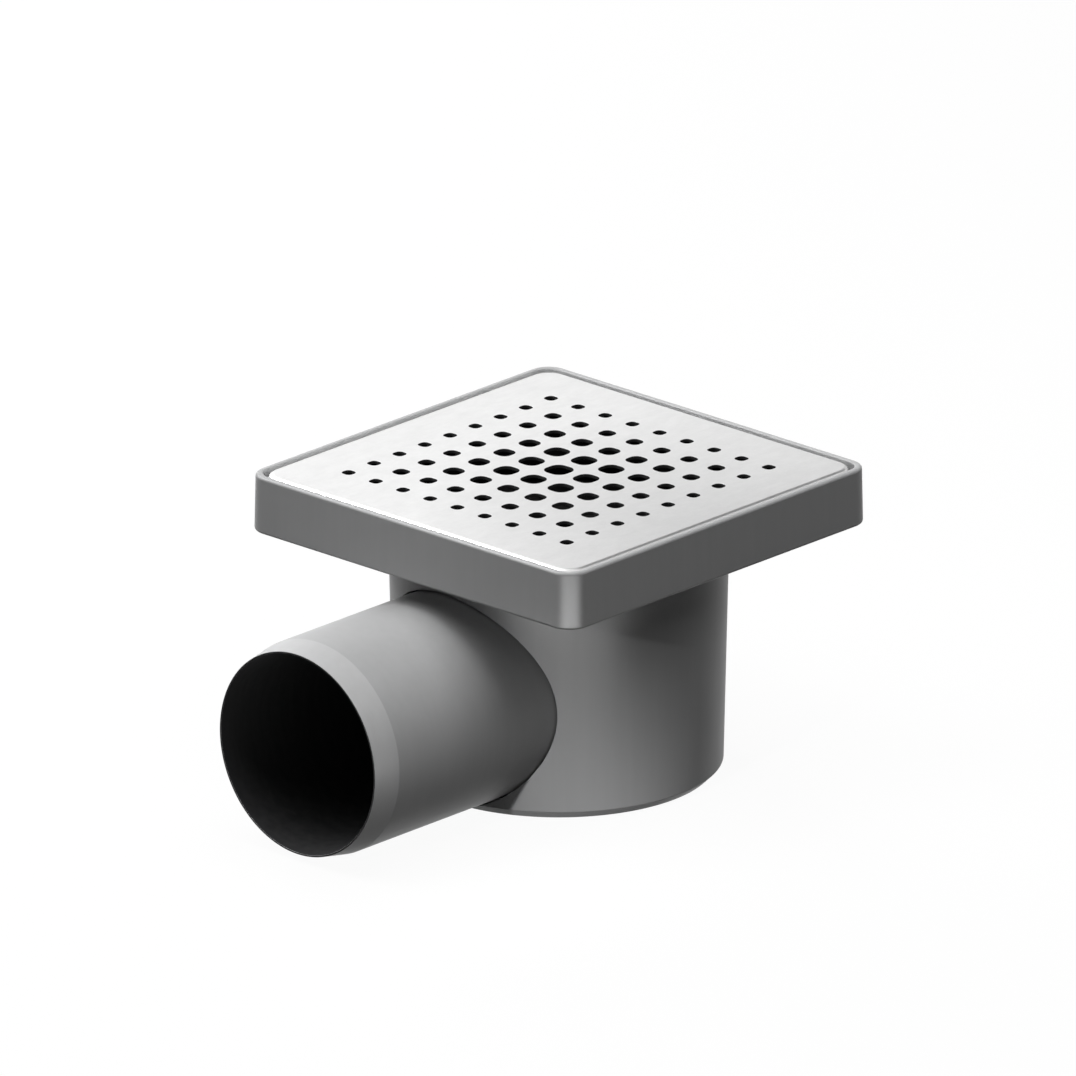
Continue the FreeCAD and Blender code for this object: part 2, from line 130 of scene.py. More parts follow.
def cap_faces(first, count):
    """Faces across a ring of points, in strips from one side to the other."""
    faces = []
    for i in range(count // 2):
        near = first + i
        far_side = first + count - i - 1
        near_side = first + (count - i) % count
        faces.append(tuple(dict.fromkeys((near, near + 1, far_side, near_side))))
    return faces


def tidy_mesh(mesh, crease, weld=WELD):
    """Weld doubled points, turn the faces outwards and set the shading."""
    work = bmesh.new()
    work.from_mesh(mesh)
    bmesh.ops.remove_doubles(work, verts=work.verts, dist=weld)
    bmesh.ops.dissolve_degenerate(work, edges=work.edges, dist=COLLAPSE)
    bmesh.ops.recalc_face_normals(work, faces=work.faces)
    work.to_mesh(mesh)
    work.free()
    mesh.shade_smooth()
    mesh.set_sharp_from_angle(angle=crease)


def new_piece(name, vertices, faces, materials, crease=CREASE, second=(), weld=WELD):
    """A tidied mesh object, whose faces numbered in second have the second material."""
    mesh = bpy.data.meshes.new(name)
    mesh.from_pydata(vertices, [], faces)
    for material in materials:
        mesh.materials.append(material)
    for index in second:
        mesh.polygons[index].material_index = 1
    piece = bpy.data.objects.new(name, mesh)
    bpy.context.scene.collection.objects.link(piece)
    tidy_mesh(mesh, crease, weld)
    return piece


def pot_ring(radius, height, facets):
    """Points of a level circle about the pot's axis."""
    turns = [math.tau * i / facets for i in range(facets)]
    return [(radius * math.cos(turn), radius * math.sin(turn), height) for turn in turns]


def pipe_ring(radius, facets, reach=None, saddle=None):
    """Points round the outlet's axis at a reach from the pot's axis, or on a saddle's radius."""
    points = []
    for i in range(facets):
        turn = math.tau * i / facets
        across = radius * math.cos(turn)
        out = math.sqrt(saddle**2 - across**2) if saddle else reach
        points.append((across, -out, OUTLET_HEIGHT + radius * math.sin(turn)))
    return points


def material_nodes(name):
    """A new material with its node tree, its shader and the object's own coordinates in metres."""
    material = bpy.data.materials.new(name)
    material.use_nodes = True
    nodes = material.node_tree.nodes
    coordinates = nodes.new("ShaderNodeTexCoord")
    return material, nodes, material.node_tree.links, nodes["Principled BSDF"], coordinates


def noise(nodes, links, coordinates, stretch, scale, detail, roughness=0.5, shift=(0.0, 0.0, 0.0)):
    """Noise in the object's own space, stretched by a factor for each axis and moved by a shift."""
    mapping = nodes.new("ShaderNodeMapping")
    mapping.inputs["Scale"].default_value = stretch
    mapping.inputs["Location"].default_value = shift
    texture = nodes.new("ShaderNodeTexNoise")
    texture.inputs["Scale"].default_value = scale
    texture.inputs["Detail"].default_value = detail
    texture.inputs["Roughness"].default_value = roughness
    links.new(coordinates.outputs["Object"], mapping.inputs["Vector"])
    links.new(mapping.outputs["Vector"], texture.inputs["Vector"])
    return texture


def ramp(nodes, links, texture, low, high):
    """Spread a texture between two colours."""
    colours = nodes.new("ShaderNodeValToRGB")
    colours.color_ramp.elements[0].position = RAMP_START
    colours.color_ramp.elements[0].color = low
    colours.color_ramp.elements[1].position = RAMP_END
    colours.color_ramp.elements[1].color = high
    links.new(texture.outputs["Fac"], colours.inputs["Fac"])
    return colours


def bump(nodes, links, texture, relief, before=None):
    """Add a texture's relief of a strength and a depth, on top of an earlier one if there is one."""
    raised = nodes.new("ShaderNodeBump")
    raised.inputs["Strength"].default_value = relief[0]
    raised.inputs["Distance"].default_value = relief[1]
    links.new(texture.outputs["Fac"], raised.inputs["Height"])
    if before:
        links.new(before.outputs["Normal"], raised.inputs["Normal"])
    return raised


def vary_roughness(nodes, links, texture, shader, roughness):
    """Let a texture vary the shader's roughness between two values."""
    spread = nodes.new("ShaderNodeMapRange")
    spread.inputs["To Min"].default_value = roughness[0]
    spread.inputs["To Max"].default_value = roughness[1]
    links.new(texture.outputs["Fac"], spread.inputs["Value"])
    links.new(spread.outputs["Result"], shader.inputs["Roughness"])


def drawn_surface(name, shade, light, roughness, specular=PLAIN_SPECULAR):
    """A moulded or punched surface: faint upright streaks, a fine satin grain and soft mottling."""
    material, nodes, links, shader, coordinates = material_nodes(name)
    streaks = noise(nodes, links, coordinates, STREAK_STRETCH, STREAK_SCALE, STREAK_DETAIL)
    grain = noise(nodes, links, coordinates, EVEN, GRAIN_SCALE, GRAIN_DETAIL)
    clouds = noise(nodes, links, coordinates, EVEN, CLOUD_SCALE, CLOUD_DETAIL)
    colour = ramp(nodes, links, streaks, shade, light)
    vary_roughness(nodes, links, clouds, shader, roughness)
    links.new(colour.outputs["Color"], shader.inputs["Base Color"])
    fine = bump(nodes, links, grain, GRAIN_RELIEF)
    drawn = bump(nodes, links, streaks, STREAK_RELIEF, fine)
    links.new(drawn.outputs["Normal"], shader.inputs["Normal"])
    shader.inputs["Specular IOR Level"].default_value = specular
    return material


housing = drawn_surface("housing_grey_plastic", HOUSING_SHADE, HOUSING_GREY, HOUSING_ROUGHNESS)

pot_corners = [
    (0.0, 0.0, 0.0),
    (POT_EDGE_RADIUS - POT_CHAMFER, 0.0, POT_BASE_ROUNDING),
    (POT_EDGE_RADIUS, POT_CHAMFER, POT_CHAMFER_ROUNDING),
    (POT_TOP_RADIUS, POT_TOP, POT_RIM_ROUNDING),
    (POT_MOUTH_RADIUS, POT_TOP, POT_RIM_ROUNDING),
    (POT_MOUTH_RADIUS, POT_STEP, POT_STEP_ROUNDING),
    (POT_CAVITY_RADIUS, POT_STEP, POT_CAVITY_ROUNDING),
    (POT_CAVITY_RADIUS, POT_FLOOR, POT_FLOOR_ROUNDING),
    (0.0, POT_FLOOR, 0.0),
]
rings = [pot_ring(radius, height, POT_FACETS) for radius, height in rounded_outline(pot_corners)]
pot = new_piece("pot_body", points_of(rings), skin_faces(rings), [housing])

# The hole is cut by a plug whose inner end follows the pot's cavity, so the floor stays whole.
inner = pipe_ring(OUTLET_HOLE_RADIUS, PLUG_FACETS, saddle=POT_CAVITY_RADIUS - PLUG_INSET)
outer = pipe_ring(OUTLET_HOLE_RADIUS, PLUG_FACETS, reach=POT_TOP_RADIUS + PLUG_OVERRUN)
plug_faces = skin_faces([inner, outer], closed=False)
plug_faces += cap_faces(0, PLUG_FACETS)
plug_faces += cap_faces(PLUG_FACETS, PLUG_FACETS)
plug = new_piece("hole_plug", inner + outer, plug_faces, [housing])
cut = pot.modifiers.new("outlet_hole", "BOOLEAN")
cut.operation = "DIFFERENCE"
cut.solver = "EXACT"
cut.object = plug
drilled = bpy.data.meshes.new_from_object(pot.evaluated_get(bpy.context.evaluated_depsgraph_get()))
pot.modifiers.clear()
pot.data = drilled
bpy.data.objects.remove(plug)
tidy_mesh(pot.data, POT_CREASE)
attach(pot, "root")
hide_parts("pot")

# Outlet spigot: the end of a 50 mm drain pipe in the same grey plastic, with a long chamfer at
# its mouth so that a socket slides on. It passes through the pot's wall and is glued there; a
# thin dark gap shows all round it.
OUTLET_RADIUS = 0.025
OUTLET_WALL = 0.0016
OUTLET_BORE = OUTLET_RADIUS - OUTLET_WALL
OUTLET_LIP_RADIUS = 0.0238
OUTLET_REACH = 0.086
OUTLET_CHAMFER = 0.0068
OUTLET_FIRST_RING = 0.040
CHAMFER_ROUNDING = 0.0006
LIP_ROUNDING = 0.00012
OUTLET_ARC_STEPS = 4
OUTLET_FACETS = 240
TAIL_GAP = 0.0001
SURFACE_MARGIN = 0.00001
END_FACE_DEPTH = 0.00005
CHAMFER_MARGIN = 0.00002
CHAMFER_PAINTED_HIGHLIGHT = (0.490, 0.492, 0.495, 1.0)
CHAMFER_PAINTED_HIGHLIGHT_LOW = (0.470, 0.472, 0.475, 1.0)
BORE_PAINTED_SHADE = (0.030, 0.030, 0.031, 1.0)
BORE_PAINTED_SHADE_LOW = (0.020, 0.020, 0.021, 1.0)
BORE_ROUGHNESS = (0.60, 0.75)
BORE_SPECULAR = 0.10

# The bore and the mouth's end face are painted near black: a painted shade, for the pipe is grey
# plastic all through.
bore_painted_shade = drawn_surface("pipe_bore_painted_shade", BORE_PAINTED_SHADE_LOW, BORE_PAINTED_SHADE, BORE_ROUGHNESS, BORE_SPECULAR)
# The chamfer's lighter grey is a painted highlight; it is the same grey plastic as the pipe.
chamfer_painted_highlight = drawn_surface("chamfer_plastic_painted_highlight", CHAMFER_PAINTED_HIGHLIGHT_LOW, CHAMFER_PAINTED_HIGHLIGHT, HOUSING_ROUGHNESS)
outlet_corners = [
    (OUTLET_RADIUS, OUTLET_FIRST_RING, 0.0),
    (OUTLET_RADIUS, OUTLET_REACH - OUTLET_CHAMFER, CHAMFER_ROUNDING),
    (OUTLET_LIP_RADIUS, OUTLET_REACH, LIP_ROUNDING),
    (OUTLET_BORE, OUTLET_REACH, LIP_ROUNDING),
    (OUTLET_BORE, OUTLET_FIRST_RING, 0.0),
]
rings = []
for radius, reach in rounded_outline(outlet_corners, OUTLET_ARC_STEPS):
    rings.append(pipe_ring(radius, OUTLET_FACETS, reach=reach))
for radius in (OUTLET_BORE, OUTLET_RADIUS):
    rings.append(pipe_ring(radius, OUTLET_FACETS, saddle=POT_CAVITY_RADIUS + TAIL_GAP))
outlet_materials = [housing, bore_painted_shade, chamfer_painted_highlight]
outlet = new_piece("outlet_pipe", points_of(rings), skin_faces(rings), outlet_materials)
# Faces in the bore and on the mouth's end take the painted shade; faces on the chamfer take the painted
# highlight.
for face in outlet.data.polygons:
    x, y, z = face.center
    radius = math.hypot(x, z - OUTLET_HEIGHT)
    if radius < OUTLET_BORE + SURFACE_MARGIN or y < END_FACE_DEPTH - OUTLET_REACH:
        face.material_index = 1
    elif y < OUTLET_CHAMFER - OUTLET_REACH and radius < OUTLET_RADIUS - CHAMFER_MARGIN:
        face.material_index = 2
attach(outlet, "root")
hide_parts("outlet_spigot")

# Frame: the square top in grey plastic. A thin rim stands round the grate, the grate lies on a
# ledge, and under it a shallow tray drains to the middle. The skirt hangs down outside, twelve
# webs stiffen it, and a neck with an inner lip goes into the pot.
FRAME_HALF = 0.050
FRAME_TOP_HALF = 0.049705
FRAME_TOP = 0.0705
FRAME_BOTTOM = 0.057
FRAME_WALL = 0.0016
SKIRT_INNER_HALF = FRAME_HALF - FRAME_WALL
RECESS_HALF = FRAME_TOP_HALF - FRAME_WALL
LEDGE_TOP = 0.06625
LEDGE_BOTTOM = LEDGE_TOP - FRAME_WALL
LEDGE_WIDTH = 0.0042
TRAY_HALF = RECESS_HALF - LEDGE_WIDTH
TRAY_OUTER_HALF = TRAY_HALF + FRAME_WALL
TRAY_DEPTH = 0.0048
TRAY_FALL = 0.0009
TRAY_EDGE = LEDGE_TOP - TRAY_DEPTH
TRAY_MIDDLE_RADIUS = 0.0426
THROAT = TRAY_EDGE - TRAY_FALL
SEAT = POT_TOP
GLUE_GAP = 0.00008
NECK_WALL = 0.002
NECK_LENGTH = 0.0076
NECK_RADIUS = POT_MOUTH_RADIUS - GLUE_GAP
NECK_BORE = NECK_RADIUS - NECK_WALL
NECK_BOTTOM = SEAT - NECK_LENGTH
LIP_REACH = 0.0025
LIP_THICKNESS = 0.0015
LIP_BORE = NECK_BORE - LIP_REACH
LIP_TOP = NECK_BOTTOM + LIP_THICKNESS
INNER_CORNER = 0.0038
CORNER_SET_BACK = 0.0446
SEAT_ROUNDING = 0.0008
LEDGE_ROUNDING = 0.0004
SKIRT_ROUNDING = 0.0007
SKIRT_INNER_ROUNDING = 0.0003
RIM_ROUNDING = 0.0008
RIM_INNER_ROUNDING = 0.0004
TRAY_ROUNDING = 0.0008
THROAT_ROUNDING = 0.0006
LIP_STEP_ROUNDING = 0.0002
LIP_EDGE_ROUNDING = 0.0003
NECK_ROUNDING = 0.0005
NECK_TOP_ROUNDING = 0.0002
SIDE_POINTS = 30
CORNER_POINTS = 12
WEB_THICKNESS = 0.0015
WEB_SPACING = 0.028
WEB_RUN_IN = 0.0004
WEB_RISE = 0.0005
WEB_INNER = TRAY_OUTER_HALF - WEB_RUN_IN
WEB_OUTER = SKIRT_INNER_HALF + WEB_RUN_IN
WEB_BOTTOM = FRAME_BOTTOM + WEB_RISE
WEB_TOP = LEDGE_BOTTOM + WEB_RUN_IN
WEB_OUTLINE = ((WEB_INNER, -1), (WEB_OUTER, -1), (WEB_OUTER, 1), (WEB_INNER, 1))
BOX_FACES = (
    (0, 3, 2, 1),
    (4, 5, 6, 7),
    (0, 1, 5, 4),
    (1, 2, 6, 5),
    (2, 3, 7, 6),
    (3, 0, 4, 7),
)
PAINTED_SHADE_ABOVE_SEAT = 0.0005
TRAY_PAINTED_SHADE = (0.005, 0.005, 0.005, 1.0)
TRAY_PAINTED_SHADE_LOW = (0.003, 0.003, 0.003, 1.0)
TRAY_ROUGHNESS = (0.70, 0.80)
TRAY_SPECULAR = 0.05


def turned(x, y, quarter):
    """A level point turned about the upright axis by quarter turns."""
    turn = math.pi / 2 * quarter
    across = x * math.cos(turn) - y * math.sin(turn)
    along = x * math.sin(turn) + y * math.cos(turn)
    return across, along


def square_ring(half, corner, height):
    """Points of a level rounded square, the same number for every size."""
    points = []
    flat = half - corner
    side = [(half, -flat + 2 * flat * i / SIDE_POINTS) for i in range(1, SIDE_POINTS)]
    angles = [math.pi / 2 * i / CORNER_POINTS for i in range(CORNER_POINTS + 1)]
    arc = [(flat + corner * math.cos(angle), flat + corner * math.sin(angle)) for angle in angles]
    for quarter in range(4):
        for x, y in side + arc:
            points.append((*turned(x, y, quarter), height))
    return points


def round_ring(radius, height):
    """Points of a level circle in the directions of a square ring's points."""
    points = []
    for x, y, _ in square_ring(TRAY_HALF, INNER_CORNER, height):
        share = radius / math.hypot(x, y)
        points.append((x * share, y * share, height))
    return points


def even_shading(piece):
    """Let the large faces set the shading, with the sharp edges kept."""
    even = piece.modifiers.new("even_shading", "WEIGHTED_NORMAL")
    even.keep_sharp = True


square_corners = [
    (TRAY_OUTER_HALF, SEAT, SEAT_ROUNDING),
    (TRAY_OUTER_HALF, LEDGE_BOTTOM, LEDGE_ROUNDING),
    (SKIRT_INNER_HALF, LEDGE_BOTTOM, LEDGE_ROUNDING),
    (SKIRT_INNER_HALF, FRAME_BOTTOM, SKIRT_INNER_ROUNDING),
    (FRAME_HALF, FRAME_BOTTOM, SKIRT_ROUNDING),
    (FRAME_TOP_HALF, FRAME_TOP, RIM_ROUNDING),
    (RECESS_HALF, FRAME_TOP, RIM_INNER_ROUNDING),
    (RECESS_HALF, LEDGE_TOP, LEDGE_ROUNDING),
    (TRAY_HALF, LEDGE_TOP, LEDGE_ROUNDING),
    (TRAY_HALF, TRAY_EDGE, TRAY_ROUNDING),
]
round_corners = [
    (TRAY_MIDDLE_RADIUS, TRAY_EDGE, 0.0),
    (NECK_BORE, THROAT, THROAT_ROUNDING),
    (NECK_BORE, LIP_TOP, LIP_STEP_ROUNDING),
    (LIP_BORE, LIP_TOP, LIP_EDGE_ROUNDING),
    (LIP_BORE, NECK_BOTTOM, LIP_EDGE_ROUNDING),
    (NECK_RADIUS, NECK_BOTTOM, NECK_ROUNDING),
    (NECK_RADIUS, SEAT, NECK_TOP_ROUNDING),
]
frame_outline = rounded_outline(square_corners + round_corners)
first_round = len(frame_outline) - len(rounded_outline(round_corners))
rings = []
for across, up in frame_outline[:first_round]:
    rings.append(square_ring(across, max(across - CORNER_SET_BACK, INNER_CORNER), up))
for across, up in frame_outline[first_round:]:
    rings.append(round_ring(across, up))
vertices = points_of(rings)
faces = skin_faces(rings)

# Each web is a box that runs a little into the walls round it.
for quarter in range(4):
    for place in (-WEB_SPACING, 0.0, WEB_SPACING):
        first = len(vertices)
        for height in (WEB_BOTTOM, WEB_TOP):
            for x, side in WEB_OUTLINE:
                vertices.append((*turned(x, place + side * WEB_THICKNESS / 2, quarter), height))
        for box_face in BOX_FACES:
            faces.append(tuple(first + corner for corner in box_face))
# The tray, the throat and the neck's bore are painted near black: a painted shade, for the frame is
# grey plastic all through.
tray_painted_shade = drawn_surface("tray_inside_painted_shade", TRAY_PAINTED_SHADE, TRAY_PAINTED_SHADE_LOW, TRAY_ROUGHNESS, TRAY_SPECULAR)
top_frame = new_piece("top_frame", vertices, faces, [housing, tray_painted_shade])
# Faces inside the neck's bore, and in the tray above the seat, take the painted shade.
for face in top_frame.data.polygons:
    x, y, z = face.center
    in_bore = math.hypot(x, y) < NECK_BORE + SURFACE_MARGIN
    in_tray = max(abs(x), abs(y)) < TRAY_HALF + SURFACE_MARGIN and z > SEAT + PAINTED_SHADE_ABOVE_SEAT
    if in_bore or in_tray:
        face.material_index = 1
even_shading(top_frame)
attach(top_frame, "root")
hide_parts("frame")

# Trap: a black plastic funnel with its dip tube and lifting bar, a cup that hangs on it and holds
# the water seal, and a flat black rubber ring under the funnel's flange. It lifts out by hand.
TRAP_BLACK_AND_PAINTED_SHADE = (0.008, 0.008, 0.008, 1.0)
TRAP_BLACK_AND_PAINTED_SHADE_LOW = (0.005, 0.005, 0.005, 1.0)
TRAP_ROUGHNESS = (0.50, 0.62)
TRAP_SPECULAR = 0.10
RUBBER_BLACK = (0.010, 0.010, 0.010, 1.0)
RUBBER_SHADE = (0.006, 0.006, 0.006, 1.0)
RUBBER_ROUGHNESS = (0.62, 0.75)

# The funnel and the cup are black plastic, painted darker than black plastic is: black plastic and
# painted shade.
trap_black_and_painted_shade = drawn_surface("trap_black_plastic_and_painted_shade", TRAP_BLACK_AND_PAINTED_SHADE_LOW, TRAP_BLACK_AND_PAINTED_SHADE, TRAP_ROUGHNESS, TRAP_SPECULAR)
seal_black = drawn_surface("seal_black_rubber", RUBBER_SHADE, RUBBER_BLACK, RUBBER_ROUGHNESS)
trap_materials = {"trap_funnel": trap_black_and_painted_shade, "trap_cup": trap_black_and_painted_shade, "trap_seal": seal_black}
for node, material in trap_materials.items():
    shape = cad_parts[node]
    shape.data.materials.clear()
    shape.data.materials.append(material)

# Grate: one pressed sheet of stainless steel, 0.8 mm thick, folded down all round and brushed on
# top. It has 81 rounded-square holes in nine rows, largest in the middle. It lies loose in the
# frame on its folded edge.
GRATE_DROP = 0.00025
GRATE_CLEARANCE = 0.00035
GRATE_TOP = FRAME_TOP - GRATE_DROP
GRATE_HALF = RECESS_HALF - GRATE_CLEARANCE
GRATE_SHEET = 0.0008
GRATE_UNDERSIDE = GRATE_TOP - GRATE_SHEET
GRATE_CORNER = 0.0052
GRATE_LEAST_CORNER = 0.0006
GRATE_FOLD = 0.0014
GRATE_FOLD_INNER = GRATE_FOLD - GRATE_SHEET
GRATE_EDGE_ROUNDING = 0.0001
FOLD_STEPS = 8
GRATE_CREASE = math.radians(40)
GRATE_WELD = 0.0000002
HOLE_PITCH = 0.00835
HOLE_SIDES = (0.00615, 0.0055, 0.0046, 0.0037, 0.0029)
HOLE_ROUNDNESS = 0.39
HOLE_EDGE = 0.00003
HOLE_EDGE_MIDDLE = HOLE_EDGE * 0.3
HOLE_POINTS = 40
OUTERMOST = len(HOLE_SIDES) - 1
FIELD_HALF = (OUTERMOST + 0.5) * HOLE_PITCH
BORDER_MARGIN = 0.000001
BORDER_DIGITS = 7
STEEL_AND_PAINTED_SHEEN = (0.860, 0.860, 0.858, 1.0)
STEEL_AND_PAINTED_SHADE = (0.640, 0.640, 0.640, 1.0)
STEEL_ROUGHNESS = (0.30, 0.46)
MOTTLE_LIGHT = (1.0, 1.0, 1.0, 1.0)
MOTTLE_DARK = (0.92, 0.92, 0.92, 1.0)
BRUSH_STRETCH = (1.0, 0.08, 1.0)
BRUSH_SCALE = 2600.0
BRUSH_RELIEF = (0.30, 0.00001)
SPECKLE_SCALE = 1500.0
SPECKLE_RELIEF = (0.16, 0.00002)
FINE_DETAIL = 3.0
FINE_ROUGHNESS = 0.6
FLECK_STRETCH = (1.0, 0.45, 1.0)
FLECK_SCALE = 420.0
FLECK_DETAIL = 6.0
FLECK_ROUGHNESS = 0.7
SHEEN_AND_SHADE_SCALE = 9.0
SHEEN_AND_SHADE_DETAIL = 0.0
SHEEN_AND_SHADE_SHIFT = (7.2, 1.7, 2.8)
HOLE_WALL_PAINTED_SHADE = (0.020, 0.020, 0.021, 1.0)
HOLE_WALL_PAINTED_SHADE_LOW = (0.012, 0.012, 0.012, 1.0)
CUT_ROUGHNESS = (0.55, 0.70)


def square_reach(turn, half, corner):
    """How far a rounded square's edge lies from its centre in one direction."""
    x, y = abs(math.cos(turn)), abs(math.sin(turn))
    x, y = max(x, y), min(x, y)
    flat = half - corner
    if half * y / x <= flat:
        return half / x
    middle = (x + y) * flat
    return middle + math.sqrt(middle**2 - 2 * flat**2 + corner**2)


# The hole's wall lies between this ring of a cell and the next.
WALL_RING = 3


def grate_cell(column, row):
    """Rings of one square cell, from its border on top over the hole's wall to its border below."""
    x, y = column * HOLE_PITCH, row * HOLE_PITCH
    side = HOLE_SIDES[max(abs(column), abs(row))]
    cell = HOLE_PITCH / 2
    hole = side / 2
    corner = HOLE_ROUNDNESS * side
    levels = [
        (cell, 0.0, GRATE_TOP),
        (hole + HOLE_EDGE, corner + HOLE_EDGE, GRATE_TOP),
        (hole + HOLE_EDGE_MIDDLE, corner + HOLE_EDGE_MIDDLE, GRATE_TOP - HOLE_EDGE_MIDDLE),
        (hole, corner, GRATE_TOP - HOLE_EDGE),
        (hole, corner, GRATE_UNDERSIDE),
        (cell, 0.0, GRATE_UNDERSIDE),
    ]
    rings = []
    for half, rounding, height in levels:
        ring = []
        for i in range(HOLE_POINTS):
            turn = math.tau * i / HOLE_POINTS
            reach = square_reach(turn, half, rounding)
            ring.append((x + reach * math.cos(turn), y + reach * math.sin(turn), height))
        rings.append(ring)
    return rings


vertices, faces, painted_shade_faces = [], [], []
for column in range(-OUTERMOST, OUTERMOST + 1):
    for row in range(-OUTERMOST, OUTERMOST + 1):
        rings = grate_cell(column, row)
        # The faces of each hole's wall take the painted shade.
        wall = len(faces) + WALL_RING * HOLE_POINTS
        painted_shade_faces.extend(range(wall, wall + HOLE_POINTS))
        faces.extend(skin_faces(rings, len(vertices), closed=False))
        vertices.extend(points_of(rings))

# The border takes its points from the outermost cells, so the sheet has no open seam.
border = set()
for x, y, _ in vertices:
    if abs(max(abs(x), abs(y)) - FIELD_HALF) < BORDER_MARGIN:
        border.add((round(x, BORDER_DIGITS), round(y, BORDER_DIGITS)))
border = sorted(border, key=lambda point: math.atan2(point[1], point[0]))


def border_ring(half, height):
    """The border's points moved out to a rounded square."""
    if half <= FIELD_HALF:
        return [(x, y, height) for x, y in border]
    corner = max(GRATE_CORNER - (GRATE_HALF - half), GRATE_LEAST_CORNER)
    points = []
    for x, y in border:
        turn = math.atan2(y, x)
        reach = square_reach(turn, half, corner)
        points.append((reach * math.cos(turn), reach * math.sin(turn), height))
    return points


edge_corners = [
    (FIELD_HALF, GRATE_TOP, 0.0),
    (GRATE_HALF, GRATE_TOP, GRATE_FOLD),
    (GRATE_HALF, LEDGE_TOP, GRATE_EDGE_ROUNDING),
    (GRATE_HALF - GRATE_SHEET, LEDGE_TOP, GRATE_EDGE_ROUNDING),
    (GRATE_HALF - GRATE_SHEET, GRATE_UNDERSIDE, GRATE_FOLD_INNER),
    (FIELD_HALF, GRATE_UNDERSIDE, 0.0),
]
rings = [border_ring(half, height) for half, height in rounded_outline(edge_corners, FOLD_STEPS)]
faces.extend(skin_faces(rings, len(vertices), closed=False))
vertices.extend(points_of(rings))


def brushed_steel(name, shade, light):
    """Brushed stainless steel: a fine grain across the sheet, faint mottling, satin gloss, and a broad
    painted sheen and shade.
    """
    material, nodes, links, shader, coordinates = material_nodes(name)
    brush = noise(nodes, links, coordinates, BRUSH_STRETCH, BRUSH_SCALE, FINE_DETAIL, FINE_ROUGHNESS)
    speckle = noise(nodes, links, coordinates, EVEN, SPECKLE_SCALE, FINE_DETAIL, FINE_ROUGHNESS)
    flecks = noise(nodes, links, coordinates, FLECK_STRETCH, FLECK_SCALE, FLECK_DETAIL, FLECK_ROUGHNESS)
    # A broad noise, moved by a shift, spreads the sheet's colour between a painted sheen and a painted
    # shade.
    sheen_and_shade = noise(nodes, links, coordinates, EVEN, SHEEN_AND_SHADE_SCALE, SHEEN_AND_SHADE_DETAIL, shift=SHEEN_AND_SHADE_SHIFT)
    colour = ramp(nodes, links, sheen_and_shade, shade, light)
    mottling = ramp(nodes, links, flecks, MOTTLE_DARK, MOTTLE_LIGHT)
    mottled = nodes.new("ShaderNodeMix")
    mottled.data_type = "RGBA"
    mottled.blend_type = "MULTIPLY"
    mottled.inputs[0].default_value = 1.0
    links.new(colour.outputs["Color"], mottled.inputs[6])
    links.new(mottling.outputs["Color"], mottled.inputs[7])
    vary_roughness(nodes, links, speckle, shader, STEEL_ROUGHNESS)
    links.new(mottled.outputs[2], shader.inputs["Base Color"])
    shader.inputs["Metallic"].default_value = 1.0
    grain = bump(nodes, links, brush, BRUSH_RELIEF)
    pitted = bump(nodes, links, speckle, SPECKLE_RELIEF, grain)
    links.new(pitted.outputs["Normal"], shader.inputs["Normal"])
    return material


steel = brushed_steel("brushed_stainless_steel", STEEL_AND_PAINTED_SHADE, STEEL_AND_PAINTED_SHEEN)
# The holes' walls are painted near black: a painted shade, for the sheet is steel all through.
hole_wall_painted_shade = drawn_surface("grate_hole_wall_painted_shade", HOLE_WALL_PAINTED_SHADE_LOW, HOLE_WALL_PAINTED_SHADE, CUT_ROUGHNESS)
sheet_materials = [steel, hole_wall_painted_shade]
grate = new_piece("grate_sheet", vertices, faces, sheet_materials, GRATE_CREASE, painted_shade_faces, GRATE_WELD)
even_shading(grate)
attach(grate, "root")
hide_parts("grate")

# Floor: a plain pale floor under the pot. To the camera and in reflections it is white and keeps a
# soft shadow; its own colour lights the object from below only a little.
FLOOR_HALF = 6.0
FLOOR_HEIGHT = -0.0001
FLOOR_PALE = (0.85, 0.85, 0.85, 1.0)
FLOOR_BOUNCE = (0.01, 0.01, 0.01, 1.0)
FLOOR_WHITE_SHARE = 0.95


def seen_rays(nodes, links):
    """One for a ray from the camera, in a reflection or through glass, and zero for the rest."""
    rays = nodes.new("ShaderNodeLightPath")
    seen = rays.outputs["Is Camera Ray"]
    for kind in ("Is Glossy Ray", "Is Transmission Ray"):
        either = nodes.new("ShaderNodeMath")
        either.operation = "MAXIMUM"
        links.new(seen, either.inputs[0])
        links.new(rays.outputs[kind], either.inputs[1])
        seen = either.outputs["Value"]
    return seen


def square_sheet(name, half, height, material):
    """A level square of one face about the origin."""
    corners = ((-half, -half), (half, -half), (half, half), (-half, half))
    mesh = bpy.data.meshes.new(name)
    mesh.from_pydata([(x, y, height) for x, y in corners], [], [(0, 1, 2, 3)])
    mesh.materials.append(material)
    sheet = bpy.data.objects.new(name, mesh)
    bpy.context.scene.collection.objects.link(sheet)
    return sheet


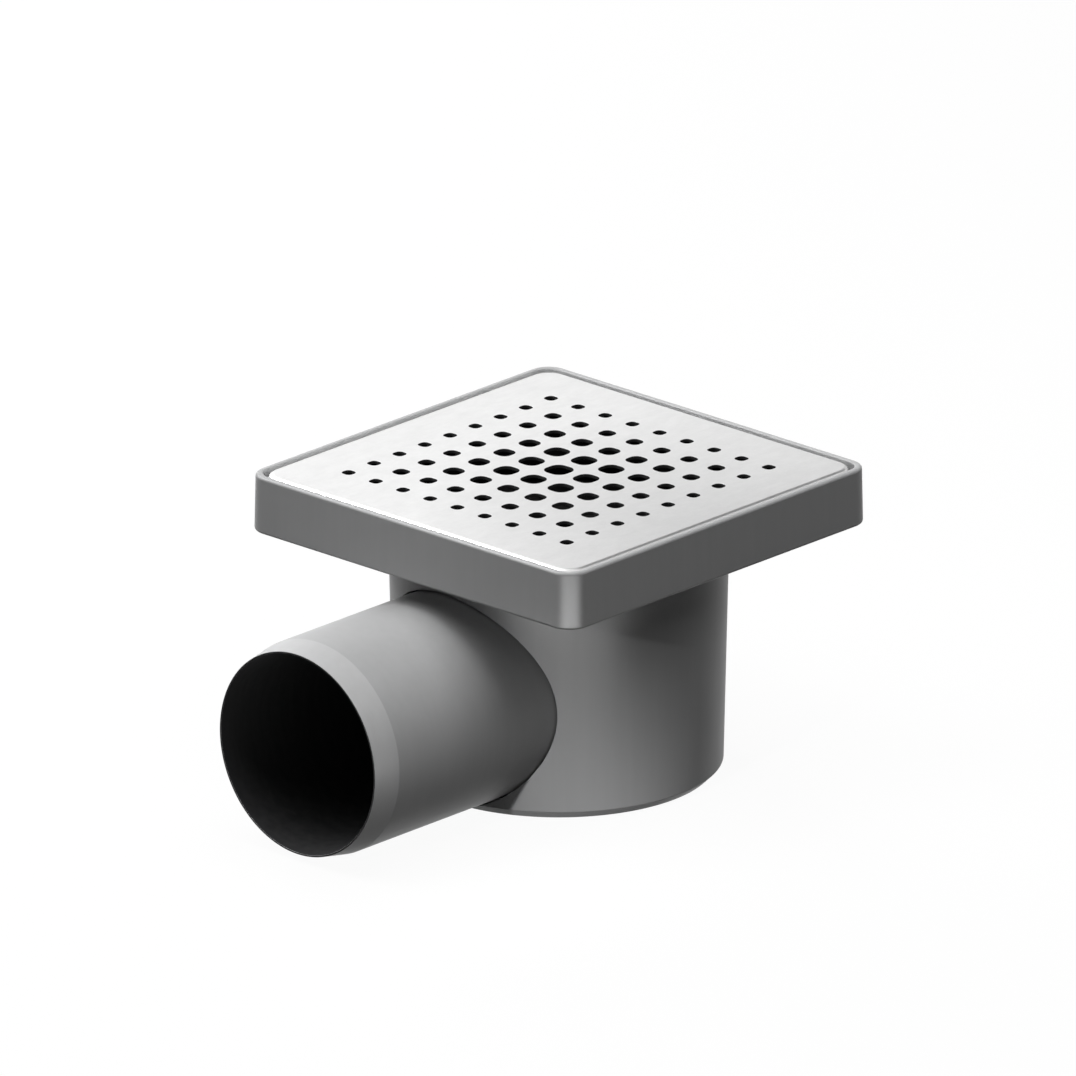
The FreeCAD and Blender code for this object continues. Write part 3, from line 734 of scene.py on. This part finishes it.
floor_material = bpy.data.materials.new("pale_floor")
floor_material.use_nodes = True
nodes = floor_material.node_tree.nodes
links = floor_material.node_tree.links
nodes.remove(nodes["Principled BSDF"])
lit = nodes.new("ShaderNodeBsdfDiffuse")
lit.inputs["Color"].default_value = FLOOR_PALE
white = nodes.new("ShaderNodeEmission")
white.inputs["Strength"].default_value = 1.0
pale = nodes.new("ShaderNodeMixShader")
pale.inputs["Fac"].default_value = FLOOR_WHITE_SHARE
links.new(lit.outputs["BSDF"], pale.inputs[1])
links.new(white.outputs["Emission"], pale.inputs[2])
dim = nodes.new("ShaderNodeBsdfDiffuse")
dim.inputs["Color"].default_value = FLOOR_BOUNCE
blend = nodes.new("ShaderNodeMixShader")
links.new(seen_rays(nodes, links), blend.inputs["Fac"])
links.new(dim.outputs["BSDF"], blend.inputs[1])
links.new(pale.outputs["Shader"], blend.inputs[2])
links.new(blend.outputs["Shader"], nodes["Material Output"].inputs["Surface"])
floor = square_sheet("pale_floor", FLOOR_HALF, FLOOR_HEIGHT, floor_material)

# Light: a broad soft light above, weaker ones at the left, at the front right and behind on the
# left, and a narrow spot on the pot's lower part. The floor card and the glow at the left show in
# reflections only. The world is white to the camera and in reflections, and faint otherwise.
WORLD_WHITE = (1.0, 1.0, 1.0, 1.0)
WORLD_FILL = 0.015
LOOK_AT = Vector((0.0, -0.01, 0.045))
SPOT_PLACE = (0.200, -0.830, 0.343)
SPOT_AIM = (0.042, -0.0229, -0.004)
SPOT_ANGLE = math.radians(4.4)
SPOT_SOFTNESS = 0.03
SPOT_WATTS = 44.0
CARD_PLACE = (0.149, -0.146, 0.0015)
CARD_TURN = math.radians(-44.4)
CARD_DEPTH = 0.12
CARD_WIDTH = 0.23
CARD_WATTS = 3.4
GLOW_PLACE = (-0.646, -0.352, 0.727)
GLOW_SIDE = 0.50
GLOW_WATTS = 22.0

# Name, place, side and watts of each soft light.
LAMPS = (
    ("top_light", (0.0, -0.01, 1.245), 0.90, 9.5),
    ("left_light", (-0.340, -0.462, 0.988), 0.60, 5.8),
    ("left_back_light", (-0.909, 0.270, 0.354), 0.30, 5.5),
    ("right_front_light", (0.582, -0.031, 0.978), 0.60, 2.0),
)


def place_light(name, kind, place, aim):
    """A lamp at a place, turned towards a point and unseen by the camera."""
    lamp = bpy.data.lights.new(name, kind)
    light = bpy.data.objects.new(name, lamp)
    light.location = place
    light.rotation_euler = (Vector(aim) - Vector(place)).to_track_quat("-Z", "Y").to_euler()
    light.visible_camera = False
    bpy.context.scene.collection.objects.link(light)
    return light


world = bpy.data.worlds.new("studio")
bpy.context.scene.world = world
world.use_nodes = True
nodes = world.node_tree.nodes
links = world.node_tree.links
faint = nodes["Background"]
faint.inputs["Color"].default_value = WORLD_WHITE
faint.inputs["Strength"].default_value = WORLD_FILL
bright = nodes.new("ShaderNodeBackground")
bright.inputs["Color"].default_value = WORLD_WHITE
bright.inputs["Strength"].default_value = 1.0
blend = nodes.new("ShaderNodeMixShader")
links.new(seen_rays(nodes, links), blend.inputs["Fac"])
links.new(faint.outputs["Background"], blend.inputs[1])
links.new(bright.outputs["Background"], blend.inputs[2])
links.new(blend.outputs["Shader"], nodes["World Output"].inputs["Surface"])

for name, place, side, watts in LAMPS:
    light = place_light(name, "AREA", place, LOOK_AT)
    light.data.size = side
    light.data.energy = watts
    light.visible_glossy = False
spot = place_light("low_spot", "SPOT", SPOT_PLACE, SPOT_AIM)
spot.data.spot_size = SPOT_ANGLE
spot.data.spot_blend = 1.0
spot.data.shadow_soft_size = SPOT_SOFTNESS
spot.data.energy = SPOT_WATTS
spot.visible_glossy = False
card = place_light("floor_card", "AREA", CARD_PLACE, LOOK_AT)
card.rotation_euler = (math.pi, 0.0, CARD_TURN)
card.data.shape = "RECTANGLE"
card.data.size = CARD_DEPTH
card.data.size_y = CARD_WIDTH
card.data.energy = CARD_WATTS
card.visible_diffuse = False
glow = place_light("rim_glow", "AREA", GLOW_PLACE, LOOK_AT)
glow.data.size = GLOW_SIDE
glow.data.energy = GLOW_WATTS
glow.visible_diffuse = False

# Flag: a matt black card above and behind the object, out of the camera's sight. The steel plate
# mirrors it, which tones the plate down, most of all in its right part.
FLAG_PLACE = (-0.091, 0.417, 0.486)
FLAG_HALF = 0.20
FLAG_BLACK = (0.01, 0.01, 0.01, 1.0)
FLAG_ROUGHNESS = 0.9

flag_material = bpy.data.materials.new("black_card")
flag_material.use_nodes = True
flag_shader = flag_material.node_tree.nodes["Principled BSDF"]
flag_shader.inputs["Base Color"].default_value = FLAG_BLACK
flag_shader.inputs["Roughness"].default_value = FLAG_ROUGHNESS
flag = square_sheet("black_card", FLAG_HALF, 0.0, flag_material)
flag.location = FLAG_PLACE
flag.rotation_euler = (LOOK_AT - Vector(FLAG_PLACE)).to_track_quat("Z", "Y").to_euler()
flag.visible_camera = False

# Camera: far away with a long lens, about twenty degrees above the floor, facing the frame's
# front corner.
CAMERA_PLACE = (5.21182, -5.62013, 2.86607)
CAMERA_FORWARD = Vector((-0.63878, 0.68798, -0.34444))
CAMERA_LENS = 1214.9
CAMERA_SENSOR = 36.0
CAMERA_CLIP_END = 40.0

camera_data = bpy.data.cameras.new("camera")
camera_data.sensor_width = CAMERA_SENSOR
camera_data.lens = CAMERA_LENS
camera_data.clip_end = CAMERA_CLIP_END
camera = bpy.data.objects.new("camera", camera_data)
camera.location = CAMERA_PLACE
camera.rotation_euler = CAMERA_FORWARD.to_track_quat("-Z", "Y").to_euler()
bpy.context.scene.collection.objects.link(camera)
bpy.context.scene.camera = camera
bpy.context.scene.view_settings.view_transform = "Standard"
